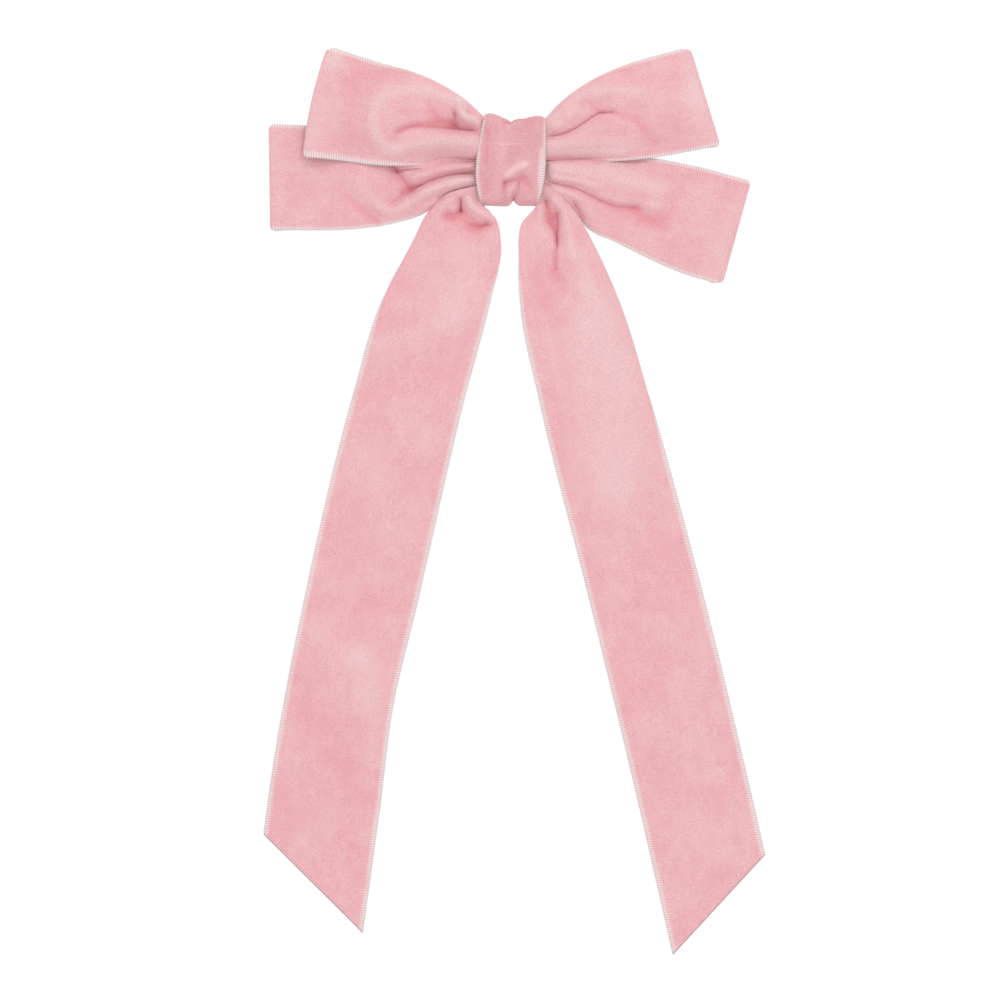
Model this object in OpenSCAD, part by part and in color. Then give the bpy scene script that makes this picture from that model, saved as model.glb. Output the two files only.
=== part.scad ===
// Hair barrette: a four-loop velvet ribbon bow with two long tails, wrapped
// onto an arched spring clip that closes behind the hair.
//
// Frame: +X to the wearer's right of the bow seen from the front, +Y towards
// the hair, +Z up. The origin is the middle of the hair channel, halfway
// between the tension bar and the clasp arm. All sizes in millimetres.

/* [Ribbon] */
// Width of the velvet ribbon
ribbon_w = 36; // [30:0.5:39]
// Thickness of the ribbon, pile included
ribbon_t = 1.2; // [0.8:0.1:1.4]

/* [Bow loops] */
// Reach of the upper left loop from the middle of the bow
upper_left_reach = 69.5; // [62:0.5:72]
// Reach of the upper right loop
upper_right_reach = 66.5; // [60:0.5:72]
// Upward tilt of the upper left loop, degrees
upper_left_tilt = 13.7; // [12:0.1:18]
// Upward tilt of the upper right loop, degrees
upper_right_tilt = 17; // [15:0.1:19]
// Reach of the lower left loop
lower_left_reach = 79; // [72:0.5:84]
// Reach of the lower right loop
lower_right_reach = 77; // [72:0.5:84]
// Downward tilt of the lower right loop, degrees
lower_right_tilt = 15; // [10:0.1:16]

/* [Tails] */
// Length of the left tail below its fold, along its inner edge
tail_left_len = 232; // [180:1:260]
// Length of the right tail below its fold, along its inner edge
tail_right_len = 240; // [180:1:260]
// Outward lean of the left tail at its top, degrees
tail_left_lean = 18; // [12:0.5:19]
// Outward lean of the right tail at its top, degrees
tail_right_lean = 14.5; // [10:0.5:17]
// Angle of the slanting cut at the tail ends, degrees from square
cut_slant = 35; // [20:1:45]

/* [Centre wrap] */
// Width of the wrap across the bow
wrap_w = 22; // [19:0.5:24]
// Height of the wrapped middle, outside
wrap_h = 30; // [30:0.5:31]

/* [Clip] */
// Overall length of the clip's base bar
clip_len = 80; // [78:1:86]
// Width of the base bar
clip_w = 9; // [8.5:0.1:9.5]
// Radius that the base bar is arched to
base_r = 260; // [240:10:300]
// Thickness of the base bar
base_t = 0.9; // [0.8:0.1:1]
// Narrowest gap between tension bar and clasp arm
channel_gap = 4.4; // [4.2:0.1:4.6]
// Radius of the sewing holes at the bar's ends
sew_hole_r = 0.9; // [0.6:0.1:1]

/* [Hidden] */
$fn = 96;
far = 200;                        // longer than anything it cuts
gap = 0.3;                        // clearance between soft neighbours

// colours
velvet = [0.94, 0.73, 0.75];
velvet_back = [0.9, 0.68, 0.71];
steel = [0.78, 0.78, 0.8];
spring_steel = [0.68, 0.69, 0.72];

// clip, side view (X along the bar, Y towards the hair)
arm_t = 0.8;
arm_w = 6.6;
arm_r = 400;
bar_t = 0.35;                     // tension bar
bar_w = 5;
bar_travel = 0.8;                 // how far hair presses the tension bar
bar_bow = 0.6;                    // its bulge towards the hair
lug_x = 25.5;                     // lugs of the tension bar, from the middle
lug_l = 2;
slot_play = 0.1;
slot_cover = 1.9;                 // metal that ends above each lug slot
arm_front_y = channel_gap / 2;
bar_back_y = -channel_gap / 2;
bar_r = (lug_x * lug_x + bar_bow * bar_bow) / (2 * bar_bow);
lug_front_y = bar_back_y - bar_bow - bar_t;
base_back_y = lug_front_y - bar_travel - 0.2 - rise(base_r, lug_x);
base_front_y = base_back_y - base_t;

// hinge
ear_t = 0.8;
ear_in_z = clip_w / 2 - ear_t;    // inner face of each ear
ear_boss_r = 2.1;
pin_r = 0.8;
knuckle_r = 1.6;
knuckle_bore_r = pin_r + 0.04;
hinge_x = -31.5;
hinge_y = arm_front_y + rise(arm_r, hinge_x) + arm_t - knuckle_r;
foot_x = -23.4;                   // where the hinge ears end along the bar
stop_x0 = 23.4;                   // the short ears at the catch end
stop_x1 = 27.6;
stop_h = 2.4;
stop_bevel = 0.8;

// catch
catch_x = 30.2;
plate_t = 0.6;
plate_lift = 0.05;                // the flat plate clears the arched bar
prong_l = 4;                      // along the bar
prong_t = 0.5;
prong_in_z = 2;
hook_out = 0.5;
window_l = 5.4;
window_w = 5.5;
hook_reach = 7.8;                 // from the bar to the arm, along the prongs
window_x = catch_x - hook_reach * sin(base_slope(catch_x));
window_rim = 2.4;                 // metal round the window, along the arm
tip_x = window_x + window_l / 2 + window_rim;
head_w = 9.2;                     // width of the arm around its window
wing_z = 6.5;
wing_h = 4.6;                     // height of the finger wings over the bar
wing_l = 4.4;
rivet_r = 0.8;
rivet_head_r = 1.35;
rivet_head_t = 0.4;
sew_x = clip_len / 2 - 2.4;

// bow, front view (X across, Z up)
wrap_t = 1.2;
bundle_front_y = base_front_y - 9.6;
bundle_back_y = base_front_y - 1.3;
split_y = bundle_front_y + 4.9;   // between the upper and the lower loops
bundle_z = wrap_h / 2 - wrap_t - 1.5;
upper_z0 = 0.6;                   // upper ribbon sits above this in the middle
lower_z0 = 0.2;                   // lower ribbon sits below this
tail_z0 = -8.8;                   // tail ribbon sits below this
loop_start = wrap_w / 2 + 0.4;
loop_wall = 1.1;
fold_r = 1.7;                     // outer fold of each loop
upper_belly = 5;
lower_belly = 1.5;
tail_y = bundle_front_y + 0.1;    // plane that the tails hang in
tail_hinge_z = -24;               // line that the tails swing about
hinge_gap = 0.8;                  // free cloth above and below that line
tail_left_x = -17.3;
tail_right_x = 13.4;
tail_bend_left = 11;              // how much each tail straightens downwards
tail_bend_right = 1;
thread_t = 0.8;
thread_turns = 5;
thread_pitch = 1;

function rise(r, x) = r - sqrt(r * r - x * x);
function ease(t) = let (c = min(1, max(0, t))) c * c * (3 - 2 * c);
function swell(t) = sin(90 * min(1, max(0, t)));
function base_slope(x) = asin(x / base_r);

// ---------------------------------------------------------------- clip

// A strip of sheet arched in the XY plane. Its face at y0 is concave towards
// +Y, and its thickness lies on the -Y side.
module arched_sheet(r, y0, t) {
    translate([0, y0 + r, 0])
        linear_extrude(height = 4 * clip_w, center = true)
            difference() {
                circle(r = r + t, $fn = 720);
                circle(r = r, $fn = 720);
                translate([-2 * r, 0]) square([4 * r, 2 * r]);
            }
}

// Extrudes an XZ outline through the whole depth.
module through_depth(depth = far) {
    rotate([90, 0, 0])
        linear_extrude(height = depth, center = true) children();
}

// Local frame on the bar's hair side: +Y is square to the bar there.
module on_base(x) {
    translate([x, base_back_y + rise(base_r, x), 0])
        rotate([0, 0, base_slope(x)]) children();
}

module y_cylinder(r, y0, y1) {
    translate([0, y1, 0]) rotate([90, 0, 0]) cylinder(r = r, h = y1 - y0);
}

module bar_outline(length, width) {
    square([length - width, width], center = true);
    for (s = [-1, 1])
        translate([s * (length - width) / 2, 0]) circle(d = width);
}

// One side of the hinge end: a tall boss for the pin and a low foot with the
// slot that guides the tension bar.
module hinge_ear() {
    foot_y = base_back_y + rise(base_r, foot_x) - base_t / 2;
    heel_y = base_back_y + rise(base_r, hinge_x) - base_t / 2;
    difference() {
        union() {
            translate([hinge_x, hinge_y]) circle(r = ear_boss_r);
            polygon([[hinge_x - ear_boss_r, heel_y], [foot_x, foot_y],
                     [foot_x, lug_front_y + slot_cover + 0.3],
                     [hinge_x + ear_boss_r, hinge_y],
                     [hinge_x - ear_boss_r, hinge_y]]);
        }
        translate([hinge_x, hinge_y]) circle(r = pin_r + 0.01);
        lug_slot(-1);
    }
}

module stop_ear() {
    y0 = base_back_y + rise(base_r, stop_x0) - base_t / 2;
    difference() {
        polygon([[stop_x0, y0], [stop_x1, y0 + 0.3],
                 [stop_x1, lug_front_y + slot_cover],
                 [stop_x1 - stop_bevel, lug_front_y + stop_h],
                 [stop_x0 + stop_bevel, lug_front_y + stop_h],
                 [stop_x0, lug_front_y + slot_cover]]);
        lug_slot(1);
    }
}

module lug_slot(side) {
    translate([side * lug_x - lug_l / 2 - slot_play, lug_front_y - bar_travel - slot_play])
        square([lug_l + 2 * slot_play, bar_travel + bar_t + 4 * slot_play]);
}

module base_bar() {
    color(steel)
    difference() {
        union() {
            intersection() {
                arched_sheet(base_r, base_back_y, base_t);
                through_depth() bar_outline(clip_len, clip_w);
            }
            for (s = [-1, 1])
                translate([0, 0, s * (clip_w - ear_t) / 2])
                    linear_extrude(height = ear_t, center = true) {
                        hinge_ear();
                        stop_ear();
                    }
        }
        for (x = [-sew_x, sew_x])
            on_base(x) y_cylinder(sew_hole_r, -3, 3);
        on_base(catch_x) y_cylinder(rivet_r + 0.01, -3, 3);
    }
}

module catch_plate() {
    color(spring_steel)
    on_base(catch_x)
        difference() {
            translate([-wing_l / 2, plate_lift, -prong_in_z - prong_t])
                cube([wing_l, plate_t, 2 * (prong_in_z + prong_t)]);
            y_cylinder(rivet_r + 0.01, -1, 3);
        }
}

module catch_rivet() {
    color(steel)
    on_base(catch_x) {
        y_cylinder(rivet_r, -base_t - 0.05, plate_lift + plate_t + 0.02);
        y_cylinder(rivet_head_r, plate_lift + plate_t + 0.02,
                   plate_lift + plate_t + 0.02 + rivet_head_t);
        y_cylinder(rivet_head_r, -base_t - 0.05 - rivet_head_t, -base_t - 0.05);
    }
}

// One spring prong of the catch: an upright with a hook that holds the clasp
// arm's window, and a finger wing that squeezes it inwards.
module catch_prong() {
    root_y = plate_lift + plate_t + 0.05;
    z0 = prong_in_z;
    z1 = prong_in_z + prong_t;
    hook_y = arm_front_y + rise(arm_r, catch_x) + arm_t + 0.5
             - base_back_y - rise(base_r, catch_x);
    translate([-prong_l / 2, 0, 0]) rotate([90, 0, 90])
        linear_extrude(height = prong_l)
            polygon([[root_y, z0], [root_y, z1], [hook_y, z1],
                     [hook_y, z1 + hook_out], [hook_y + 0.35, z1 + hook_out],
                     [hook_y + 1.3, z1 - 0.1], [hook_y + 1.3, z0]]);
    intersection() {
        translate([-wing_l / 2, wing_h, z0])
            cube([wing_l, prong_t, wing_z - z0]);
        through_depth() union() {
            translate([-far / 2, 0]) square([far, wing_z - wing_l / 2]);
            translate([0, wing_z - wing_l / 2]) circle(d = wing_l);
        }
    }
    // turned edge of the wing, where a finger presses
    translate([-wing_l / 4, wing_h - 1.4, wing_z - 0.7])
        cube([wing_l / 2, 1.6, prong_t]);
}

module catch_prong_upper() {
    color(spring_steel) on_base(catch_x) catch_prong();
}

module catch_prong_lower() {
    color(spring_steel) on_base(catch_x) mirror([0, 0, 1]) catch_prong();
}

module hinge_pin() {
    color(steel)
    translate([hinge_x, hinge_y, 0]) {
        cylinder(r = pin_r, h = clip_w + 0.1, center = true);
        for (s = [-1, 1])
            translate([0, 0, s * (clip_w / 2 + 0.05 + 0.25)])
                cylinder(r = pin_r + 0.4, h = 0.5, center = true);
    }
}

// The arm's outline seen square on: a straight bar, a wider head around the
// window, and a rounded tip.
module arm_outline() {
    head_x = window_x - window_l / 2 - window_rim;
    bevel = 2;
    translate([hinge_x, -arm_w / 2]) square([head_x - hinge_x + bevel + 0.1, arm_w]);
    polygon([[head_x, -arm_w / 2], [head_x + bevel, -head_w / 2],
             [tip_x - bevel, -head_w / 2], [tip_x, -head_w / 2 + bevel],
             [tip_x, head_w / 2 - bevel], [tip_x - bevel, head_w / 2],
             [head_x + bevel, head_w / 2], [head_x, arm_w / 2]]);
}

module clasp_arm() {
    color(steel)
    difference() {
        union() {
            intersection() {
                arched_sheet(arm_r, arm_front_y + arm_t, arm_t);
                through_depth() difference() {
                    arm_outline();
                    translate([window_x, 0])
                        square([window_l, window_w], center = true);
                }
            }
            translate([hinge_x, hinge_y, 0])
                cylinder(r = knuckle_r, h = arm_w, center = true);
        }
        translate([hinge_x, hinge_y, 0])
            cylinder(r = knuckle_bore_r, h = 2 * arm_w, center = true);
    }
}

// Thin leaf, bowed towards the hair, with a pair of lugs at each end.
module tension_bar() {
    color(spring_steel)
    intersection() {
        translate([0, bar_back_y - bar_r, 0])
            linear_extrude(height = 2 * clip_w, center = true)
                difference() {
                    circle(r = bar_r, $fn = 720);
                    circle(r = bar_r - bar_t, $fn = 720);
                    translate([-2 * bar_r, -2 * bar_r])
                        square([4 * bar_r, 2 * bar_r]);
                }
        through_depth() union() {
            square([2 * lug_x + lug_l, bar_w], center = true);
            for (s = [-1, 1])
                translate([s * lug_x, 0]) square([lug_l, clip_w - 0.4], center = true);
        }
    }
}

// ---------------------------------------------------------------- bow

// One ribbon loop pointing along +X: a hollow band, folded at its far end.
//   reach         distance from the bow's middle to the outer fold
//   rise_z        how far the band's middle lies above the loop's own axis
//   top0, low0    heights of the band's edges where it leaves the wrap
//   flare         how far out its top and low edges reach their full width
//   start         front and back planes of the band where it leaves the wrap
//   plane, side   plane that its inner face runs in further out, and the side
//                 of that plane it lies on (-1 in front, 1 behind)
//   belly         how much the middle of the loop swells
module loop_band(reach, rise_z, top0, low0, flare, start, plane, side, belly) {
    steps = 16;
    under_wrap = 4;
    settle_inner = 5;
    settle_back = 4;
    hollow_from = 0.12;
    x0 = loop_start - under_wrap;
    x_fold = reach - fold_r;
    top1 = rise_z + ribbon_w / 2;
    low1 = rise_z - ribbon_w / 2;
    from_y = side < 0 ? start[1] : start[0];
    function at(i) = x0 + (reach - x0) * i / steps;
    function share(x) = (x - loop_start) / (x_fold - loop_start);
    function inner(x) = from_y + (plane - from_y) * ease(settle_inner * share(x));
    function thick(x) = 2 * fold_r
                        + (start[1] - start[0] - 2 * fold_r)
                          * (1 - ease(side < 0 ? share(x) : settle_back * share(x)))
                        + belly * sin(180 * min(1, max(0, share(x))));
    function front(x) = side < 0 ? inner(x) - thick(x) : inner(x);
    function back(x) = side < 0 ? inner(x) : inner(x) + thick(x);
    xs = [for (i = [0 : steps]) x0 + (x_fold - x0) * i / steps];
    hollow = [for (x = xs) if (share(x) > hollow_from) x];
    intersection() {
        linear_extrude(height = far, center = true)
            difference() {
                union() {
                    polygon(concat([for (x = xs) [x, front(x)]],
                                   [for (i = [steps : -1 : 0]) [xs[i], back(xs[i])]]));
                    translate([x_fold, (front(x_fold) + back(x_fold)) / 2])
                        circle(r = fold_r);
                }
                polygon(concat([for (x = hollow) [x, front(x) + loop_wall]],
                               [for (i = [len(hollow) - 1 : -1 : 0])
                                   [hollow[i], back(hollow[i]) - loop_wall]]));
            }
        through_depth()
            polygon(concat(
                [for (i = [0 : steps])
                    [at(i), top0 + (top1 - top0) * flare_out(side, at(i), flare[0])]],
                [for (i = [steps : -1 : 0])
                    [at(i), low0 + (low1 - low0) * ease((at(i) - loop_start) / flare[1])]]));
    }
}

// How far a loop's top edge has opened: at once on a front loop, later behind.
function flare_out(side, x, length) =
    let (t = (x - loop_start) / length) side < 0 ? swell(t) : ease(t);

// Turns a loop to its tilt, and trims it to the part outside the wrap.
module place_loop(side, tilt) {
    mirror([side < 0 ? 1 : 0, 0, 0])
        intersection() {
            rotate([0, -tilt, 0]) children();
            translate([loop_start, -far / 2, -far / 2]) cube(far);
        }
}

// The gathered middle of one ribbon, inside the wrap.
module waist(low, high) {
    translate([-loop_start - 0.2, bundle_front_y, low])
        cube([2 * loop_start + 0.4, bundle_back_y - bundle_front_y, high - low]);
}

module upper_ribbon() {
    start = [bundle_front_y, bundle_back_y];
    color(velvet) {
        waist(upper_z0, bundle_z);
        place_loop(-1, upper_left_tilt)
            loop_band(reach = upper_left_reach, rise_z = 2.8, top0 = 9.5, low0 = -1.9,
                      flare = [38, 44], start = start, plane = split_y - gap / 2,
                      side = -1, belly = upper_belly);
        place_loop(1, upper_right_tilt)
            loop_band(reach = upper_right_reach, rise_z = 0.8, top0 = 8.8, low0 = -2.6,
                      flare = [38, 40], start = start, plane = split_y - gap / 2,
                      side = -1, belly = upper_belly);
    }
}

module lower_ribbon() {
    start = [bundle_front_y + 1.5, bundle_back_y];
    color(velvet_back) {
        waist(tail_z0 + gap, lower_z0);
        place_loop(-1, 0)
            loop_band(reach = lower_left_reach, rise_z = -5.2, top0 = -0.6,
                      low0 = tail_z0 + 0.8, flare = [62, 38], start = start,
                      plane = split_y + gap / 2, side = 1, belly = lower_belly);
        place_loop(1, -lower_right_tilt)
            loop_band(reach = lower_right_reach, rise_z = -3.2, top0 = 2.2,
                      low0 = tail_z0 + 4, flare = [52, 34], start = start,
                      plane = split_y + gap / 2, side = 1, belly = lower_belly);
    }
}

// Gathered head of one tail, below the wrap. It ends just above the line that
// the tail swings about, between inner_x and outer_x.
module tail_head(inner_x, outer_x) {
    side = sign(inner_x + outer_x);
    below = -wrap_h / 2 - gap;
    end_z = tail_hinge_z + hinge_gap;
    translate([0, tail_y, 0])
        through_depth(ribbon_t)
            polygon([[side * loop_start, tail_z0 - 1],
                     [side * (loop_start + 5), tail_z0 - 1.4],
                     [outer_x, end_z],
                     [inner_x, end_z],
                     [inner_x + side * 1.5, below - 3.4],
                     [side * (loop_start - 2.6), below],
                     [side * loop_start, below]]);
}

module tail_fold() {
    shoulder_w = 1.4;             // where the gathers come out of the wrap
    shoulder_drop = 1;
    color(velvet) {
        waist(-bundle_z, tail_z0);
        for (side = [-1, 1])
            translate([side > 0 ? loop_start - 0.2 : 0.2 - loop_start - shoulder_w,
                       tail_y - ribbon_t / 2, -bundle_z])
                cube([shoulder_w, bundle_back_y - tail_y, bundle_z + tail_z0 - shoulder_drop]);
        tail_head(inner_x = -4.2, outer_x = -31);
        tail_head(inner_x = 1.6, outer_x = 24.6);
    }
}

// Centre line of a tail at s along it, leaning outwards and straightening.
function lean_at(s, length, lean, bend) = lean - bend * max(0, s) / length;
function line_at(s, length, lean, bend, n = 12) =
    let (d = s / n)
    [for (i = 0, p = [0, 0]; i <= n; i = i + 1,
          a = lean_at((i - 0.5) * d, length, lean, bend),
          p = p + d * [sin(a), -cos(a)]) p][n];

// One hanging tail, drawn leaning towards +X from its swing line at 0,0. Its
// inner edge is longer than its outer one by the slanting cut.
module tail_sheet(length, lean, bend) {
    steps = 12;
    above = -8;
    gathered = 5;
    full_at = 45;
    outer_len = length - ribbon_w * tan(cut_slant);
    function half(s) = ribbon_w / 2 - gathered * (1 - ease(s / full_at));
    function edge(s, side) =
        let (a = lean_at(s, length, lean, bend))
        line_at(s, length, lean, bend) + side * half(s) * [cos(a), sin(a)];
    through_depth(ribbon_t)
        intersection() {
            polygon(concat(
                [for (i = [0 : steps]) edge(above + (outer_len - above) * i / steps, 1)],
                [for (i = [steps : -1 : 0]) edge(above + (length - above) * i / steps, -1)]));
            translate([-far, -2 * far - hinge_gap]) square(2 * far);
        }
}

module tail_left() {
    color(velvet)
    translate([tail_left_x, tail_y, tail_hinge_z]) mirror([1, 0, 0])
        tail_sheet(tail_left_len, tail_left_lean, tail_bend_left);
}

module tail_right() {
    color(velvet)
    translate([tail_right_x, tail_y, tail_hinge_z])
        tail_sheet(tail_right_len, tail_right_lean, tail_bend_right);
}

// Closed band round the gathered middle and the base bar, in the YZ plane.
// grow is its distance outside the space it encloses.
module wrap_outline(grow) {
    round_r = 3;
    back_r = 0.6;
    room = 1.4;                   // over the thread, above and below
    front_room = 1.1;
    front_y = bundle_front_y - front_room + round_r;
    hull() {
        for (s = [-1, 1]) {
            translate([front_y, s * (bundle_z + room - round_r)])
                circle(r = round_r + grow, $fn = 48);
            translate([bundle_back_y - 1, s * (bundle_z + room - round_r)])
                circle(r = round_r + grow, $fn = 48);
            translate([base_back_y + 0.4 - back_r, s * (clip_w / 2 + 0.2 - back_r)])
                circle(r = back_r + grow, $fn = 32);
        }
    }
}

module centre_wrap() {
    color(velvet)
    translate([-wrap_w / 2, 0, 0]) rotate([90, 0, 90])
        linear_extrude(height = wrap_w)
            difference() {
                wrap_outline(wrap_t);
                wrap_outline(0);
            }
}

// Turns of thread that hold the gathers, hidden under the wrap. They lie side
// by side, and each is lower where it meets the next.
module binding_thread() {
    corner_r = 1;
    clear = 0.05;
    module around(grow)
        hull() for (y = [bundle_front_y - clear + corner_r, bundle_back_y + clear - corner_r],
                    z = [-1, 1] * (bundle_z + clear - corner_r))
            translate([y, z]) circle(r = corner_r + grow, $fn = 32);
    module turn(width, grow)
        rotate([90, 0, 90])
            linear_extrude(height = width, center = true)
                difference() {
                    around(grow);
                    translate([bundle_front_y - clear, -bundle_z - clear])
                        square([bundle_back_y - bundle_front_y + 2 * clear,
                                2 * (bundle_z + clear)]);
                }
    color("mistyrose") {
        turn(thread_turns * thread_pitch, 0.75 * thread_t);
        for (i = [0 : thread_turns - 1])
            translate([(i - (thread_turns - 1) / 2) * thread_pitch, 0, 0])
                turn(0.6 * thread_pitch, thread_t);
    }
}

base_bar();
catch_plate();
catch_rivet();
catch_prong_upper();
catch_prong_lower();
hinge_pin();
clasp_arm();
tension_bar();
upper_ribbon();
lower_ribbon();
tail_fold();
tail_left();
tail_right();
centre_wrap();
binding_thread();
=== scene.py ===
"""A velvet ribbon hair bow on its spring clip: cloth, selvedges, materials, light and camera.

The CAD frame gives the place of the knot, the gathers and the tails. Lengths are in millimetres
until a mesh is made, and in metres for the stage, light and camera. Front-view points are (x, z)
and depths are y, which grows away from the viewer, towards the hair.
"""
import math
import bpy
import numpy as np
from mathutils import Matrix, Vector

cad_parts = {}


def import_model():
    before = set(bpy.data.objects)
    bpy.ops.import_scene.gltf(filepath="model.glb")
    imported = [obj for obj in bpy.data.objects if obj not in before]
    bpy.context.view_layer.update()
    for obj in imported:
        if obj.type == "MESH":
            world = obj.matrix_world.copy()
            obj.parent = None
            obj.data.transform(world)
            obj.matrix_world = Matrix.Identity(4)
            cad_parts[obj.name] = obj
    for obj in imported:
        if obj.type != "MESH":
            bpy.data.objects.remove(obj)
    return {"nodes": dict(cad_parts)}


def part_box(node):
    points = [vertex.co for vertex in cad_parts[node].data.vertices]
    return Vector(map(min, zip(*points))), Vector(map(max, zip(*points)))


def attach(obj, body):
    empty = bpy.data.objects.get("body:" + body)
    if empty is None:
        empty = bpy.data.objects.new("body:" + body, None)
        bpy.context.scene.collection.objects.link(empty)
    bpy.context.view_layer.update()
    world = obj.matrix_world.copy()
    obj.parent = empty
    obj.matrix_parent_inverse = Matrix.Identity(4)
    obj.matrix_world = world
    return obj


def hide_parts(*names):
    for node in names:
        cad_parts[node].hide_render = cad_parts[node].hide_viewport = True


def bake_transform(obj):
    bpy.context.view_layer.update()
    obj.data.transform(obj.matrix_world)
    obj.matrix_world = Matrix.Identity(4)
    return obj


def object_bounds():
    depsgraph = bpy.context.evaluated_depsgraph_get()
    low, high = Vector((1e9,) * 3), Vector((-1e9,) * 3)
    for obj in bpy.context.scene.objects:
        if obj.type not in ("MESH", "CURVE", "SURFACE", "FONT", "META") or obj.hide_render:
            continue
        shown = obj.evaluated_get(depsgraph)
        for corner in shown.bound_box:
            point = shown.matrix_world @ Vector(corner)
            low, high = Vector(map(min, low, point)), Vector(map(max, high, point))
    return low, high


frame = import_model()
cad_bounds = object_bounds()

MM = 0.001
RIBBON_W = 36.0
CLOTH_T = 1.0          # thickness with its pile
SELVEDGE_T = 0.5       # thickness of the bare woven edge
SELVEDGE_W = 0.9       # width of that edge
SEAL_W = 1.3           # melted strip along a cut end


def box_mm(node):
    low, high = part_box(node)
    return np.array(low) / MM, np.array(high) / MM


wrap_low, wrap_high = box_mm("centre_wrap")
wrap_front = wrap_low[1]
wrap_half_w = wrap_high[0]
tail_low, tail_high = box_mm("tail_left")
tail_y = float(np.mean([tail_low[1], tail_high[1]]))
gather_front = box_mm("tail_fold")[0][1] + 0.5
gather_back = box_mm("upper_ribbon")[1][1]
split_y = box_mm("lower_ribbon")[0][1] + 3.4      # plane between the upper and the lower loops


# ------------------------------------------------------------------ curves and grids

def smooth(t):
    t = np.clip(t, 0.0, 1.0)
    return t * t * (3 - 2 * t)


def lerp(a, b, t):
    return a + (b - a) * t


def unit(vectors):
    return vectors / np.maximum(np.linalg.norm(vectors, axis=-1, keepdims=True), 1e-9)


def arc_length(points):
    """Length along the first axis of points or of a grid of them, from its start."""
    step = np.linalg.norm(np.diff(points, axis=0), axis=-1)
    return np.concatenate([np.zeros_like(step[:1]), np.cumsum(step, axis=0)])


def curve(points, t):
    """Smooth curve through the points, at fractions t of its length."""
    p = np.array(points, float)
    d = arc_length(p)
    d /= d[-1]
    slope = np.gradient(p, d, axis=0)
    t = np.clip(np.asarray(t, float), 0, 1)
    i = np.clip(np.searchsorted(d, t, side="right") - 1, 0, len(d) - 2)
    h = (d[i + 1] - d[i])[..., None]
    s = ((t - d[i]) / (d[i + 1] - d[i]))[..., None]
    return ((2 * s ** 3 - 3 * s ** 2 + 1) * p[i] + (s ** 3 - 2 * s ** 2 + s) * h * slope[i]
            + (3 * s ** 2 - 2 * s ** 3) * p[i + 1] + (s ** 3 - s ** 2) * h * slope[i + 1])


def ripple(x, z, size, seed):
    """Gentle seeded undulation between about -1 and 1, with features of that size."""
    rng = np.random.default_rng(seed)
    total = np.zeros(np.broadcast(x, z).shape)
    waves = 7
    for _ in range(waves):
        angle, phase = rng.uniform(0, 2 * np.pi, 2)
        length = size * rng.uniform(0.7, 1.6)
        total += np.sin(2 * np.pi * (x * np.cos(angle) + z * np.sin(angle)) / length + phase)
    return total / (waves / 2)


FULL_TONE = 1.5        # height of a fold that has the full tone, where none is given


def stroke(x, z, points, height, width, tone=None, lean=0.0):
    """A fold along a line in the front view: its height towards the viewer, and its tone.

    height, width and tone are each one value, or one for each end of the line. tone runs from -1,
    painted shade of a hollow, to 1, a painted highlight on a crest, and comes from the height if
    it isn't given.
    With a lean the fold has a narrow foot, and that many times the width on the right-hand side
    of its line."""
    t = np.linspace(0, 1, 70)
    line = curve(points, t)
    way = np.gradient(line, axis=0)
    dx, dz = x[..., None] - line[:, 0], z[..., None] - line[:, 1]
    away = dx ** 2 + dz ** 2
    nearest = away.argmin(axis=-1)
    pick = lambda values: np.take_along_axis(values, nearest[..., None], axis=-1)[..., 0]
    side = pick(way[:, 0] * dz - way[:, 1] * dx)
    at = t[nearest]
    between_ends = lambda ends: lerp(*np.broadcast_to(ends, 2), at)
    foot = between_ends(width)
    distance = np.sqrt(pick(away))
    if lean:
        aside = side / np.maximum(distance * np.linalg.norm(way, axis=1)[nearest], 1e-6)
        foot = foot * lerp(1.0, lean, smooth(0.5 - 0.5 * aside))
    q = distance / foot
    shape = np.exp(-q) * (1 + q) if lean else np.exp(-q * q)
    high = between_ends(height)
    strength = np.clip(high / FULL_TONE, -1, 1) if tone is None else between_ends(tone)
    return high * shape, strength * shape


def add_strokes(x, z, strokes):
    """Height and tone of all the folds together, each given as what stroke takes after x and z."""
    height, tone = np.zeros(x.shape), np.zeros(x.shape)
    for s in strokes:
        h, k = stroke(x, z, *s)
        height, tone = height + h, tone + k
    return height, tone


def normals(grid):
    return unit(np.cross(np.gradient(grid, axis=0), np.gradient(grid, axis=1)))


# ------------------------------------------------------------------ meshes

def new_mesh(name, verts, faces, material, body="bow"):
    """A smooth mesh piece, attached to the body if one is given."""
    mesh = bpy.data.meshes.new(name)
    mesh.from_pydata([tuple(v) for v in np.asarray(verts) * MM], [], faces)
    mesh.validate()
    mesh.polygons.foreach_set("use_smooth", [True] * len(mesh.polygons))
    mesh.materials.append(material)
    piece = bpy.data.objects.new(name, mesh)
    bpy.context.scene.collection.objects.link(piece)
    if body:
        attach(piece, body)
    return piece


def grid_faces(index, flip=False):
    """The quads between neighbours in a grid of vertex numbers."""
    corners = [index[:-1, :-1], index[:-1, 1:], index[1:, 1:], index[1:, :-1]]
    quads = np.stack(corners, axis=-1).reshape(-1, 4)
    return (quads[:, ::-1] if flip else quads).tolist()


def square_to_edge(grid, along, j):
    """Length along edge column j at the foot of the square from each point of the grid."""
    edge = grid[:, [j]]
    tangent = unit(np.gradient(edge, axis=0))
    return along[:, [j]] + ((grid - edge) * tangent).sum(-1)


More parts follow.
